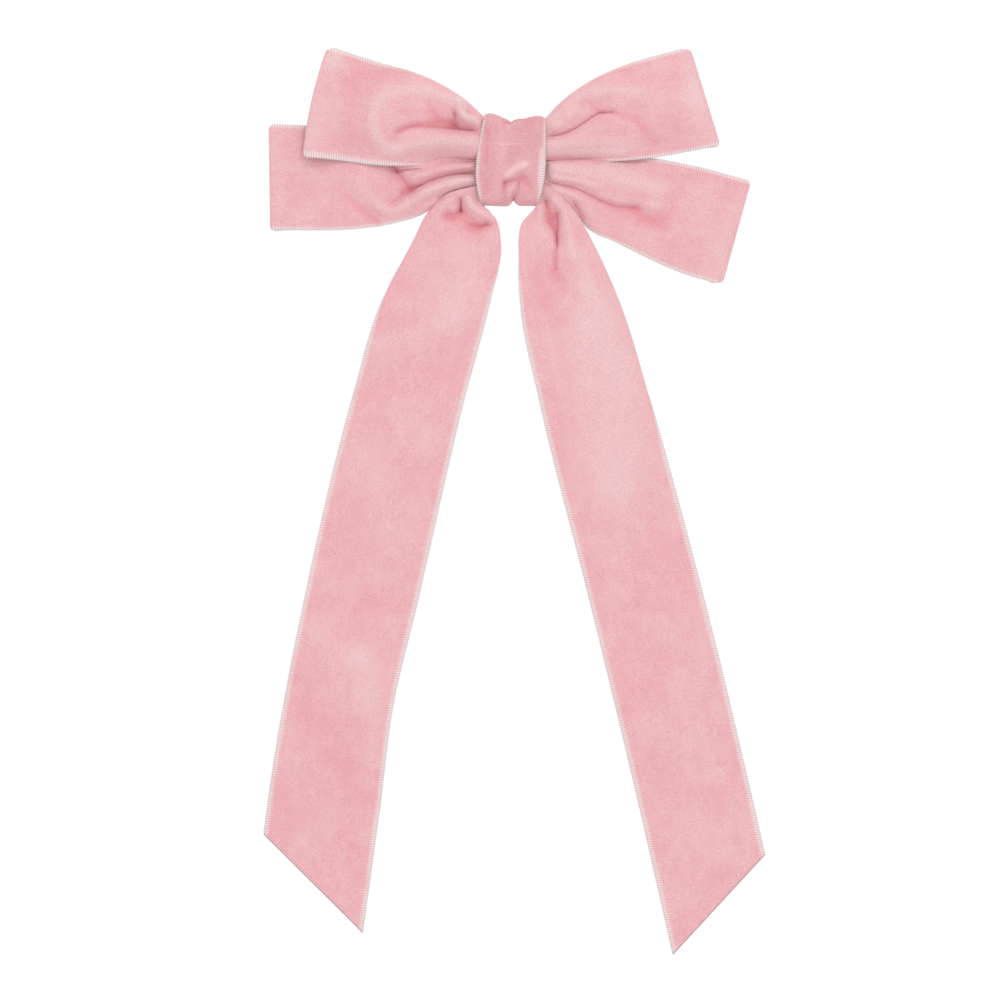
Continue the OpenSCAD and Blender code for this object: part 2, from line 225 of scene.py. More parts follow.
def cloth_sheet(name, grid, tone, material, closed=False, body="bow", width=RIBBON_W,
                near_edge=1.0, far_edge=1.0, sealed=False, pile_side=1):
    """A closed sheet with thickness round a grid of points (along, across, xyz).

    The pile stops short of both long edges, where the bare selvedge is thinner. near_edge and
    far_edge widen the selvedge's look along the first and last column, by a number or row by row,
    and sealed melts the last row into a thin lip. pile_side is 1 where the pile is on the side
    that the grid's normals face, or -1; the other side is the ribbon's plain woven back."""
    rows, cols = grid.shape[:2]
    n = normals(np.concatenate([grid[-2:], grid, grid[:2]]))[2:-2] if closed else normals(grid)
    v = np.linspace(0, 1, cols)
    to_edge = np.minimum(v, 1 - v) * width
    pile = smooth((to_edge - SELVEDGE_W * 0.6) / (SELVEDGE_W * 0.8))
    along = arc_length(grid)
    to_end = along[-1] - along
    melt = smooth(1 - to_end / SEAL_W) if sealed else np.zeros((rows, cols))
    half = (lerp(SELVEDGE_T, CLOTH_T, pile)[None] * (1 - 0.6 * melt) / 2)[..., None]
    front = (grid + n * half).reshape(-1, 3)
    back = (grid - n * half).reshape(-1, 3)
    count = rows * cols
    index = np.arange(count).reshape(rows, cols)
    if closed:
        index = np.concatenate([index, index[:1]])
    faces = grid_faces(index, flip=True) + grid_faces(index + count)
    rims = [(index[:, 0], True), (index[:, -1], False)]
    if not closed:
        rims += [(index[0], False), (index[-1], True)]
    for rim, flip in rims:
        faces += grid_faces(np.stack([rim, rim + count]), flip)
    piece = new_mesh(name, np.concatenate([front, back]), faces, material, body)
    inland = lambda inset: smooth((inset - 2) / 4)
    gap = lambda inset, scale: inset / lerp(np.reshape(scale, (-1, 1)), 1, inland(inset))
    across = np.where(v > 0.5, width - gap((1 - v) * width, far_edge), gap(v * width, near_edge))
    beside = np.where(v > 0.5, square_to_edge(grid, along, -1), square_to_edge(grid, along, 0))
    along = lerp(beside, along, inland(to_edge))
    facts = np.stack([along, np.broadcast_to(across, (rows, cols)), tone], axis=-1).reshape(-1, 3)
    attribute = piece.data.attributes.new("cloth", "FLOAT_VECTOR", "POINT")
    attribute.data.foreach_set("vector", np.concatenate([facts, facts]).astype(np.float32).ravel())
    sides = np.repeat([0.0, 1.0] if pile_side > 0 else [1.0, 0.0], count)
    for key, values in (("seal", np.concatenate([melt, melt]).ravel()), ("reverse", sides)):
        attribute = piece.data.attributes.new(key, "FLOAT", "POINT")
        attribute.data.foreach_set("value", values.astype(np.float32))
    return piece


PICOT_PITCH = 0.82
PICOT_REACH = 0.44     # length of each loop from its root
PICOT_ROOT = 0.2       # how far inside the edge that is
PICOT_SWELL = 0.26     # how far a loop bulges to both sides, in pitches
PICOT_STEPS = 9        # points on each loop
THREAD_R = 0.13
PILE_ROW = 0.66        # spacing of the rows of pile
WARP_PITCH = 0.5       # spacing of the lengthwise threads on the back


def tube(points, radius, sides, offset=0):
    """Vertices and faces of a round thread along the points."""
    p = np.asarray(points)
    tangent = unit(np.gradient(p, axis=0))
    up = np.where(np.abs(tangent[:, 1:2]) < 0.9, [[0.0, 1.0, 0.0]], [[1.0, 0.0, 0.0]])
    side = unit(np.cross(tangent, up))
    up = np.cross(side, tangent)
    angles = (np.arange(sides) * 2 * np.pi / sides)[None, :, None]
    ring = np.cos(angles) * side[:, None] + np.sin(angles) * up[:, None]
    verts = (p[:, None] + ring * radius).reshape(-1, 3)
    index = offset + np.arange(len(p) * sides).reshape(-1, sides)
    faces = grid_faces(np.concatenate([index, index[:, :1]], axis=1))
    faces += [index[0, ::-1].tolist(), index[-1].tolist()]
    return verts, faces


def picot_edge(name, grid, material, body="bow", skip=(0.0, 0.0)):
    """The looped thread along both long edges of a ribbon.

    skip is the share of each edge's length, from its start, where the thread is turned under."""
    verts, faces = [], []
    offset = 0
    for j, inner, turned in ((0, 1, skip[0]), (grid.shape[1] - 1, -2, skip[1])):
        edge = grid[:, j]
        out = unit(edge - grid[:, inner])
        length = arc_length(edge)
        loops = int(length[-1] * (1 - turned) / PICOT_PITCH)
        phase = np.linspace(0, loops * 2 * np.pi, loops * PICOT_STEPS + 1)
        s = length[-1] * turned + phase / (2 * np.pi) * PICOT_PITCH
        s_loop = np.clip(s + PICOT_SWELL * PICOT_PITCH * np.sin(phase), 0, length[-1])
        base = np.stack([np.interp(s_loop, length, edge[:, k]) for k in range(3)], axis=1)
        aim = np.stack([np.interp(s, length, out[:, k]) for k in range(3)], axis=1)
        reach = PICOT_REACH * (0.5 - 0.5 * np.cos(phase)) - PICOT_ROOT
        part, part_faces = tube(base + aim * reach[:, None], THREAD_R, 4, offset)
        verts.append(part)
        faces += part_faces
        offset += len(part)
    return new_mesh(name, np.concatenate(verts), faces, material, body)


# ------------------------------------------------------------------ materials

# colours are linear
ROSE = (0.73, 0.425, 0.443)
ROSE_DEEP = (0.712, 0.366, 0.40)
EDGE_PALE = (0.775, 0.71, 0.697)
EDGE_DEEP = (0.67, 0.51, 0.52)
MELTED = (0.44, 0.29, 0.30)


def shader(name):
    """A new material with its node graph and its surface shader."""
    material = bpy.data.materials.new(name)
    material.use_nodes = True
    graph = material.node_tree
    return material, graph, graph.nodes["Principled BSDF"]


def feed(graph, node, values):
    """Each input, by name or number, gets a number, a colour or another node's output."""
    for key, value in values.items():
        if hasattr(value, "links"):
            graph.links.new(value, node.inputs[key])
        else:
            node.inputs[key].default_value = value


def noise(graph, source, scale, detail, roughness=0.55):
    node = graph.nodes.new("ShaderNodeTexNoise")
    feed(graph, node, {"Vector": source, "Scale": scale, "Detail": detail, "Roughness": roughness})
    return node.outputs["Fac"]


def ramp(graph, source, low, high, to_low=0.0, to_high=1.0):
    """Smooth step from to_low to to_high as the source goes from low to high."""
    node = graph.nodes.new("ShaderNodeMapRange")
    node.interpolation_type = "SMOOTHSTEP"
    feed(graph, node, {"Value": source, "From Min": low, "From Max": high, "To Min": to_low,
                       "To Max": to_high})
    return node.outputs["Result"]


def mix(graph, factor, a, b, blend="MIX"):
    node = graph.nodes.new("ShaderNodeMix")
    node.data_type = "RGBA"
    node.blend_type = blend
    feed(graph, node, {0: factor, 6: a, 7: b})      # 6 and 7 are its two colours
    return node.outputs[2]


def maths(graph, operation, a, b=0.0):
    node = graph.nodes.new("ShaderNodeMath")
    node.operation = operation
    feed(graph, node, {0: a, 1: b})
    return node.outputs[0]


def bump(graph, height, strength, distance):
    node = graph.nodes.new("ShaderNodeBump")
    feed(graph, node, {"Height": height, "Strength": strength, "Distance": distance})
    return node.outputs["Normal"]


def attribute_value(graph, name):
    node = graph.nodes.new("ShaderNodeAttribute")
    node.attribute_name = name
    return node.outputs["Fac"]


def object_place(graph):
    return graph.nodes.new("ShaderNodeTexCoord").outputs["Object"]


def shade(colour, by=1.0):
    """The colour made brighter or darker, by one factor or by one for each channel."""
    return [min(1.0, float(c * k)) for c, k in zip(colour, np.broadcast_to(by, 3))] + [1.0]


def velvet(name, light, deep, width=RIBBON_W, highlight_tint=(1.01, 1.17, 1.14)):
    """Short dense pile: brushed patches, fine speckle, a soft sheen, a pale bare selvedge, and a
    plain woven back.

    A painted highlight lightens and desaturates a fold's crest, by the factors in highlight_tint,
    and painted shade deepens a hollow."""
    material, graph, principled = shader(name)
    place = object_place(graph)
    facts = graph.nodes.new("ShaderNodeAttribute")
    facts.attribute_name = "cloth"
    split = graph.nodes.new("ShaderNodeSeparateXYZ")
    feed(graph, split, {0: facts.outputs["Vector"]})
    along, across, tone = split.outputs
    plus = lambda a, b: maths(graph, "ADD", a, b)
    minus = lambda a, b: maths(graph, "SUBTRACT", a, b)
    times = lambda a, b: maths(graph, "MULTIPLY", a, b)
    waves = lambda length, pitch: maths(graph, "SINE", times(length, 2 * math.pi / pitch))

    # brushed patches of nap, stretched along the ribbon
    cloth = graph.nodes.new("ShaderNodeCombineXYZ")
    feed(graph, cloth, {0: times(along, 0.6 * MM), 1: times(across, MM)})
    patches = noise(graph, place, 90.0, 5.0, 0.65)
    streaks = noise(graph, cloth.outputs[0], 300.0, 5.0, 0.65)
    nap = plus(times(patches, 0.55), times(streaks, 0.45))
    colour = mix(graph, ramp(graph, nap, 0.37, 0.63), shade(light), shade(deep))

    # painted highlight on crests and painted shade in hollows, both from the tone
    crest_highlight = ramp(graph, tone, 0.1, 1.1, 0.0, 0.85)
    # closed is painted shade: a deeper, redder pink where the tone marks a hollow
    closed = ramp(graph, tone, -0.1, -1.1, 0.0, 0.95)
    colour = mix(graph, crest_highlight, colour, shade(light, highlight_tint))
    colour = mix(graph, closed, colour, shade(deep, (0.98, 0.74, 0.78)))

    # fine speckle, and rows of pile that show more strongly under the painted crest highlight
    speckle = noise(graph, place, 2400.0, 3.0, 0.85)
    rows = waves(along, PILE_ROW)
    fleck = plus(ramp(graph, speckle, 0.32, 0.68, -0.125, 0.125),
                 times(rows, plus(0.018, times(crest_highlight, 0.06))))
    colour = mix(graph, 1.0, colour, plus(fleck, 1.0), "MULTIPLY")

    # the plain woven back, where no pile shows
    reverse = attribute_value(graph, "reverse")
    weave = times(waves(across, WARP_PITCH), rows)
    back = mix(graph, ramp(graph, weave, -0.8, 0.8), shade(deep, 0.9), shade(light, 0.97))
    back = mix(graph, ramp(graph, nap, 0.38, 0.62, 0.0, 0.6), back, shade(light, 0.84))
    colour = mix(graph, reverse, colour, back)

    # the bare woven edge, ticked at the pitch of its picots
    to_edge = maths(graph, "MINIMUM", across, minus(width, across))
    ticks = waves(along, PICOT_PITCH)
    ragged = minus(to_edge, times(ticks, 0.28))
    edge = ramp(graph, ragged, SELVEDGE_W * 0.4, SELVEDGE_W * 1.5, 0.85, 0.0)
    # the pale edge gives way to painted shade where the tone is dark, in hollows and under
    # overlaps
    bare = times(ramp(graph, tone, -0.7, -0.1, 0.1, 1.0), edge)
    pale = mix(graph, ramp(graph, ticks, -0.6, 0.8), shade(EDGE_DEEP), shade(EDGE_PALE))
    colour = mix(graph, bare, colour, pale)

    # the melted lip of a cut end
    melted = ramp(graph, attribute_value(graph, "seal"), 0.3, 0.9, 0.0, 0.85)
    colour = mix(graph, melted, colour, shade(MELTED))

    pile = plus(times(speckle, 0.6), times(nap, 0.8))
    surface = plus(pile, times(weave, times(reverse, 0.3)))
    feed(graph, principled, {
        "Base Color": colour, "Roughness": plus(0.78, times(speckle, 0.2)),
        "Specular IOR Level": 0.2, "Sheen Weight": 0.35, "Sheen Roughness": 0.4,
        "Sheen Tint": (1.0, 0.9, 0.9, 1), "Normal": bump(graph, surface, 0.5, 0.5 * MM)})
    return material


def woven_thread(name, colour):
    """Twisted cotton with a fine fibre speckle."""
    material, graph, principled = shader(name)
    fibre = noise(graph, object_place(graph), 5200.0, 2.0)
    tone = mix(graph, ramp(graph, fibre, 0.35, 0.7), shade(colour), shade(colour, 0.86))
    feed(graph, principled, {"Base Color": tone, "Roughness": 0.7, "Sheen Weight": 0.2,
                             "Normal": bump(graph, fibre, 0.3, 0.1 * MM)})
    return material


def nickel(name, colour, roughness, brushed):
    """Nickel-plated sheet steel with fine rolling marks and a faint cloudiness."""
    material, graph, principled = shader(name)
    place = object_place(graph)
    stretch = graph.nodes.new("ShaderNodeMapping")
    feed(graph, stretch, {"Vector": place, "Scale": (1.0, 9.0, 9.0)})
    lines = noise(graph, stretch.outputs[0], 900.0, 4.0, 0.7)
    cloud = noise(graph, place, 70.0, 2.0)
    tone = mix(graph, ramp(graph, cloud, 0.3, 0.7), shade(colour), shade(colour, 0.93))
    feed(graph, principled, {
        "Base Color": tone, "Metallic": 1.0,
        "Roughness": ramp(graph, lines, 0.3, 0.75, roughness, roughness + 0.16),
        "Normal": bump(graph, lines, brushed, 0.05 * MM)})
    return material


velvet_cloth = velvet("velvet_ribbon", ROSE, ROSE_DEEP)
# the wrap gets a stronger painted highlight on its crests
wrap_cloth = velvet("velvet_wrap", (0.69, 0.365, 0.39), (0.64, 0.315, 0.35), 2 * wrap_half_w,
                    highlight_tint=(1.1, 1.38, 1.32))
picot_thread = woven_thread("picot_thread", (0.78, 0.655, 0.65))
sewing_thread = woven_thread("sewing_thread", (0.74, 0.58, 0.58))
clip_steel = nickel("clip_nickel", (0.63, 0.62, 0.6), roughness=0.2, brushed=0.1)
spring_steel = nickel("spring_nickel", (0.55, 0.555, 0.565), roughness=0.26, brushed=0.16)

CLIP_PARTS = ("base_bar", "clasp_arm", "hinge_pin", "catch_rivet")
SPRING_PARTS = ("tension_bar", "catch_plate", "catch_prong_upper", "catch_prong_lower")
for parts, steel in ((CLIP_PARTS, clip_steel), (SPRING_PARTS, spring_steel)):
    for part in parts:
        for material_slot in frame["nodes"][part].material_slots:
            material_slot.material = steel


# ------------------------------------------------------------------ ribbon loops

FOLD_R = 1.2           # radius of a loop's outer fold
FOLD_GAP = 0.65        # from the plane between the two ribbons to each one's nearest layer
ROWS, COLS = 130, 84   # of a loop's front layer
BACK_ROWS = 60
FOLD_STEPS = 9         # rows round the outer fold and across the bridge, with both ends
BRIDGE_PINCH = 0.25    # how far the wrap draws a band in at its middle
ROLL_TURN = 2.0        # how far a rolled edge turns, in radians
ROLL_SHARE = 0.05      # of the columns, for each millimetre of a roll's radius


def section(low, top, v, roll_low, roll_top):
    """Front-view points and set-back of a ribbon's cross-section that rolls back at its edges.

    low and top are where its outline runs; roll_low and roll_top are the radii of the rolls."""
    span = np.linalg.norm(top - low, axis=-1, keepdims=True)
    across = (top - low) / span
    share_low, share_top = ROLL_SHARE * roll_low, ROLL_SHARE * roll_top
    flat = (v - share_low) / (1 - share_low - share_top)
    w = roll_low + np.clip(flat, 0, 1) * (span - roll_low - roll_top)
    back = np.zeros_like(w)
    for from_edge, share, radius, sign in ((v, share_low, roll_low, -1),
                                           (1 - v, share_top, roll_top, 1)):
        angle = ROLL_TURN * np.clip(1 - from_edge / np.maximum(share, 1e-6), 0, 1)
        w = w + sign * radius * np.sin(angle)
        back = back + radius * (1 - np.cos(angle))
    return low[:, None] + across[:, None] * w[..., None], back


def past_wrap(x, reach):
    """0 under the wrap, and 1 where x is at least reach past a line just inside its edge."""
    return smooth((np.abs(x) - wrap_half_w + 1.5) / reach)


def loop_grid(low, top, front, back, drop, strokes, roll_low, roll_top, corners, seed,
              fold_highlight_tone=0.4, bow=0.0):
    """One loop: along its front from the wrap, round the outer fold, and back to the wrap.

    low and top are the front layer's outline from the wrap outwards. front and back give the
    depth of each layer as (fraction of the loop's length, y) points, and drop how far its low and
    its top edge lie behind its middle. roll_low and roll_top are each an edge's radius beside the
    wrap, and the fraction of the loop's length at which it has run out. corners is how round the
    fold's low and top corners are, fold_highlight_tone how strong the painted highlight is that
    stands in for sheen on the fold, and bow how far the fold bulges outwards."""
    u = np.linspace(0, 1, ROWS)
    v = np.linspace(0, 1, COLS)[None, :]
    low_line, top_line = curve(low, u), curve(top, u)
    fade = lambda radius, end: (radius * (1 - smooth(u / end)))[:, None]
    xz, set_back = section(low_line, top_line, v, fade(*roll_low), fade(*roll_top))
    fold = top_line[-1] - low_line[-1]
    out = unit(np.array([fold[1], -fold[0]]))
    out *= np.sign(out @ (low_line[-1] - low_line[0]))

    def pull_in(at):
        """How far a point moves towards the wrap, so that the fold has room and round corners."""
        near_low = np.clip(1 - v * RIBBON_W / corners[0], 0, 1)
        near_top = np.clip(1 - (1 - v) * RIBBON_W / corners[1], 0, 1)
        round_off = corners[0] * (1 - np.sqrt(1 - near_low ** 2))
        round_off = round_off + corners[1] * (1 - np.sqrt(1 - near_top ** 2))
        bulge = bow * 4 * v * (1 - v)
        return out * ((FOLD_R - 0.3) * at ** 5 + round_off * at ** 8 - bulge * at ** 4)[..., None]

    xz = xz - pull_in(u[:, None])
    x, z = xz[..., 0], xz[..., 1]
    free = past_wrap(x, 5) * (1 - smooth((u[:, None] - 0.9) / 0.1))
    relief, tone = add_strokes(x, z, strokes)
    height = relief * free + 0.3 * ripple(x, z, 34, seed) * free
    belly = smooth(u / 0.3) * (1 - smooth((u - 0.72) / 0.28))
    fall = drop[0] * (1 - smooth(v / 0.42)) + drop[1] * (1 - smooth((1 - v) / 0.4))
    y = curve(front, u)[:, 1:] + set_back - height + fall * belly[:, None]
    front_layer = np.stack([x, y, z], axis=-1)

    angle = np.linspace(0, np.pi, FOLD_STEPS)[1:-1, None]
    fold_y = (y[-1] + back[-1][1]) / 2
    fold_r = (back[-1][1] - y[-1]) / 2
    round_fold = np.stack([x[-1] + out[0] * fold_r * np.sin(angle),
                           fold_y - fold_r * np.cos(angle),
                           z[-1] + out[1] * fold_r * np.sin(angle)], axis=-1)

    at = np.linspace(0, 1, BACK_ROWS)
    back_low, back_top = curve(low, at)[:, None], curve(top, at)[:, None]
    middle = (back_low + back_top) / 2
    tuck = (1 - 0.16 * np.sin(np.pi * at))[:, None, None]
    back_xz = middle + (back_low * (1 - v[..., None]) + back_top * v[..., None] - middle) * tuck
    back_xz = back_xz - pull_in(at[:, None])
    back_x, back_z = back_xz[..., 0], back_xz[..., 1]
    pleats = 1.1 * np.cos(np.linspace(0, 7 * np.pi, COLS)) * (1 - smooth(at[:, None] / 0.5))
    back_y = curve(back, at)[:, 1:] + pleats * past_wrap(back_x, 5)
    back_layer = np.stack([back_x, back_y, back_z], axis=-1)[::-1]
    # the strokes' painted shade and highlight fade out under the wrap; painted_fold_highlight is a
    # painted highlight on the outer fold, standing in for sheen
    shown = past_wrap(x, 2.2)
    painted_fold_highlight = fold_highlight_tone * smooth((u[:, None] - 0.86) / 0.12) * np.ones_like(x)
    tone = np.concatenate([tone * shown + painted_fold_highlight, np.full((len(angle), COLS), fold_highlight_tone),
                           np.zeros((BACK_ROWS, COLS))])
    return np.concatenate([front_layer, round_fold, back_layer]), tone


def band(name, left, right, flared=0.0):
    """Both loops of one ribbon as a single sheet, joined across the middle under the wrap.

    flared is how much wider the selvedge shows on the left loop's low edge, away from the knot."""
    (left_grid, left_tone), (right_grid, right_tone) = left, right
    t = np.linspace(0, 1, FOLD_STEPS)[1:-1, None, None]
    bridge = left_grid[0] * (1 - t) + right_grid[0] * t
    bridge[..., 2] *= 1 - BRIDGE_PINCH * np.sin(np.pi * t[..., 0])
    grid = np.concatenate([left_grid[::-1], bridge, right_grid])
    tone = np.concatenate([left_tone[::-1], np.zeros(bridge.shape[:2]), right_tone])
    near_edge = 1 + flared * smooth((-grid[:, 0, 0] - 34) / 8)
    return (cloth_sheet(name, grid, tone, velvet_cloth, near_edge=near_edge),
            picot_edge(name + "_picot", grid, picot_thread))


UPPER_FRONT = [(0, gather_front + 0.2), (0.14, gather_front - 2.2), (0.42, gather_front - 3.8),
               (0.75, gather_front - 2.0), (1, split_y - FOLD_GAP - 2 * FOLD_R)]
UPPER_BACK = [(0, gather_back - 0.8), (0.12, gather_back - 2.2), (0.3, split_y - 0.6),
              (1, split_y - FOLD_GAP)]
LOWER_FRONT = [(0, gather_front + 1.8), (0.14, gather_front + 0.9), (0.36, gather_front + 2.0),
               (0.62, gather_front + 3.2), (1, split_y + FOLD_GAP)]
LOWER_BACK = [(0, gather_back - 0.8), (0.2, gather_back - 0.2), (0.5, gather_back + 0.4),
              (1, split_y + FOLD_GAP + 2 * FOLD_R)]

upper_left = loop_grid(
    low=[(-8, 0.6), (-12.2, 0.6), (-19.2, 0.9), (-29.3, -1.4), (-41.4, -1.8), (-58.3, 0.2),
         (-68.3, 1.2)],
    top=[(-8, 12.6), (-10.5, 14.8), (-15.6, 19.4), (-22.9, 24.2), (-30.0, 27.6), (-42.6, 31.5),
         (-60.3, 37.0)],
    front=UPPER_FRONT, back=UPPER_BACK, drop=(4.2, 1.5), fold_highlight_tone=0.62, bow=1.2,
    strokes=[
        # the rounded fold that turns back on itself, and its low arm to the wrap, with a painted
        # highlight along both
        ([(-18, 18.4), (-22.5, 20.8), (-29.5, 22.6), (-37, 22.2), (-43, 20.0), (-45.8, 15.5),
          (-45.2, 9.5), (-42.8, 5.2), (-39.5, 3.0)], (1.15, 1.2), (2.8, 2.6), 0.8),
        ([(-37.0, 3.2), (-33, 4.4), (-24, 5.4), (-12, 5.4)], (1.2, 2.6), (2.2, 3.2), (0.6, 0.8)),
        # the crease inside it, and the pocket that this runs into, with painted shade in both
        ([(-39.2, 6.4), (-37.8, 8.2), (-34.9, 10.0), (-26.8, 10.4), (-17.4, 9.9), (-11.5, 9.3)],
         (-1.0, -3.0), (1.0, 0.6), (-0.45, -0.8), 0.6),
        ([(-23.4, 13.4), (-20.8, 12.8)], (-0.5, -0.6), (1.8, 1.4), -0.5),
        ([(-38.0, 9.4), (-31, 11.6), (-24, 12.0), (-19.5, 11.8)], (-0.6, -1.0), (1.3, 1.6),
         (-0.5, -0.3)),
        ([(-27.5, 18.6), (-25.6, 14.0)], (-0.4, -0.5), (1.3, 2.2), -0.45),
        ([(-18.9, 15.6), (-18.6, 11.4)], (-1.4, -2.0), (0.4, 0.8), -0.7, 1.2),
        # small lobes between the pocket and the wrap, with painted highlights on them
        ([(-17.2, 18.0), (-16.4, 14.8), (-11.4, 12.4)], (2.0, 2.4), (1.2, 1.4)),
        ([(-20.5, 20.6), (-15.8, 18.8), (-11.5, 15.0)], (0.6, 0.5), (1.6, 1.2), 0.3),
        # painted shadow along the low edge, where it lies over the lower loop
        ([(-26.0, 0.1), (-19.0, 1.2), (-11.5, 1.0)], (-0.3, -0.4), 0.6, (-0.4, -0.9)),
        # shallow dents with painted shade below the top edge and across the loop, and a low rise
        # with a painted highlight at the top corner
        ([(-60, 25.5), (-47, 28.0), (-35, 28.6)], (-0.2, -0.3), (4.0, 2.6), -0.55),
        ([(-52.5, 20), (-54, 7)], -0.2, 4.4, -0.42),
        ([(-37, 15.5), (-26, 15.5)], -0.2, (2.4, 2.2), -0.35),
        ([(-60, 34), (-57, 31)], 0.3, 3, 0.6),
    ],
    roll_low=(1.8, 0.4), roll_top=(2.6, 0.75), corners=(0.6, 1.8), seed=3)

upper_right = loop_grid(
    low=[(8, 0.2), (11.4, 0.1), (18.1, -0.1), (28.9, -0.3), (42.3, 0.4), (55.7, 2.6), (67.7, 4.9)],
    top=[(8, 11.5), (11.2, 13.6), (14.6, 17.3), (20.5, 22.2), (29.5, 27.7), (37.8, 31.2),
         (57.8, 37.1)],
    front=UPPER_FRONT, back=UPPER_BACK, drop=(4.2, 1.5), fold_highlight_tone=0.55,
    strokes=[
        # the crease from the wrap, hooked at its far end, and the hollow that it opens into, with
        # painted shade in them
        ([(11.4, 7.6), (15.4, 8.0), (20.2, 9.9), (24.2, 12.4), (28.2, 14.9), (32.6, 15.4)],
         (-1.9, -1.2), 0.45, -0.75, 0.8),
        ([(29.6, 15.4), (27.4, 16.6), (25.4, 18.8)], (-0.8, -0.3), (0.6, 0.9), -0.5, 1.0),
        ([(34.0, 15.0), (38.8, 13.8), (43.0, 10.4), (46.5, 6.0)], (-1.1, -0.5), (2.0, 3.4), -0.6),
        ([(23.4, 18.4), (31.0, 18.4)], (-0.3, -0.4), (1.3, 1.6), -0.3),
        # the lobe over it and the one under it, with painted highlights on the lobes and painted
        # shade in a small dent between
        ([(12.6, 12.6), (16.4, 15.8), (22.5, 20.6), (31.5, 22.6), (40.6, 21.8)], (2.0, 1.0),
         (2.4, 3.4), (0.75, 0.65)),
        ([(14.6, 10.6), (21.6, 16.2)], (0.7, 0.5), (1.2, 1.5), 0.45),
        ([(16.4, 13.2), (15.6, 17.6)], (-0.5, -0.4), (0.6, 0.7), -0.35, 1.0),
        ([(49.0, 20.0), (60.0, 21.0)], (0.5, 0.4), 5.4, 0.45),
        ([(11.7, 4.6), (18.1, 5.0), (26.0, 5.0), (37.4, 4.6)], (2.2, 0.8), (2.2, 3.6), 0.68),
        # painted shadow along the low edge, where it lies over the lower loop; the pale strokes
        # after it are painted highlights
        ([(11.4, 0.9), (24.0, 0.7), (38.0, 0.9)], (-0.5, -0.3), 0.5, (-0.9, -0.5)),
        ([(24.0, 10.0), (32.0, 11.0)], 0.4, (2.2, 2.6), 0.3),
        ([(12.0, 2.8), (36.0, 2.6)], 0.3, 1.0, (0.7, 0.5)),
        # a shallow dent near the top edge, with painted shade
        ([(33.4, 28.6), (40.0, 30.0)], (-0.3, -0.2), (2.2, 2.6), -0.45),
    ],
    roll_low=(1.6, 0.62), roll_top=(2.6, 0.8), corners=(0.6, 2.8), seed=5)

lower_left = loop_grid(
    low=[(-8, -8.4), (-12.4, -9.4), (-18.2, -11.2), (-24.5, -14.4), (-31, -18.2), (-39, -20.6),
         (-48.6, -22.1), (-79.2, -22.9)],
    top=[(-8, -0.3), (-12, 0.2), (-24, 2.6), (-40, 7.5), (-60, 11.1), (-79.7, 11.9)],
    front=LOWER_FRONT, back=LOWER_BACK, drop=(0.8, 2.6),
    strokes=[
        # two creases that meet, one from under the upper loop and one to the wrap, with painted
        # shade in them
        ([(-38.6, -1.8), (-37.4, -4.0), (-35.4, -6.8), (-33.2, -9.1)], (-1.7, -2.0), (0.6, 0.7),
         -0.9, 1.8),
        ([(-39.2, -14.2), (-36.4, -12.4), (-32.3, -9.8), (-28.5, -7.5), (-23.9, -5.8),
          (-18.6, -4.6), (-12.2, -4.5)], (-1.2, -2.6), (0.8, 0.6), -0.75, 0.8),
        ([(-36.2, -10.6), (-33.6, -9.2), (-30, -8.2)], (-0.8, -0.6), (1.3, 0.8), -0.5),
        # the lobes between the creases and beside them, with painted highlights on the lobes and
        # painted shade in the dents between
        ([(-32.4, -6.0), (-27.2, -4.2), (-20.0, -2.4), (-12.0, -1.8)], (1.0, 1.6), 1.3,
         (0.2, 0.5)),
        ([(-38.0, -3.2), (-30.0, -3.0)], (-1.2, -0.7), (0.9, 0.5), -0.8),
        ([(-19.5, -0.6), (-12.4, -0.6)], (-0.4, -0.8), 0.4, None, 1.0),
        ([(-43.5, -15.6), (-40.4, -16.6), (-36.0, -14.8), (-30.0, -11.4), (-24.4, -8.9),
          (-17.1, -6.8), (-11.6, -6.2)], (1.2, 1.9), (2.2, 1.5), (0.6, 0.9)),
        ([(-44.8, -13.6), (-48.0, -10.5), (-52.0, -6.0)], (0.5, 0.4), (2.4, 4.0), 0.4),
        ([(-24, -12.6), (-20.9, -10.8), (-17.1, -9.4), (-12.6, -8.4)], (-0.6, -1.2), (0.5, 0.4),
         -0.3, 1.0),
        ([(-40.6, -4.6), (-42.6, -8.0)], (-0.4, -0.2), 2.6, -0.3),
        # the soft hollow beyond the lower lobe, with painted shade in it
        ([(-56.5, -9.0), (-53.5, -12.6), (-49.0, -17.0), (-44.5, -19.6)], (-0.5, -0.7),
         (3.2, 2.2), (-0.5, -0.8)),
        ([(-62.0, -3.0), (-52.0, -2.6)], -0.2, 2.4, -0.25),
    ],
    roll_low=(2.2, 0.44), roll_top=(0.5, 0.3), corners=(1.0, 1.0), seed=8)

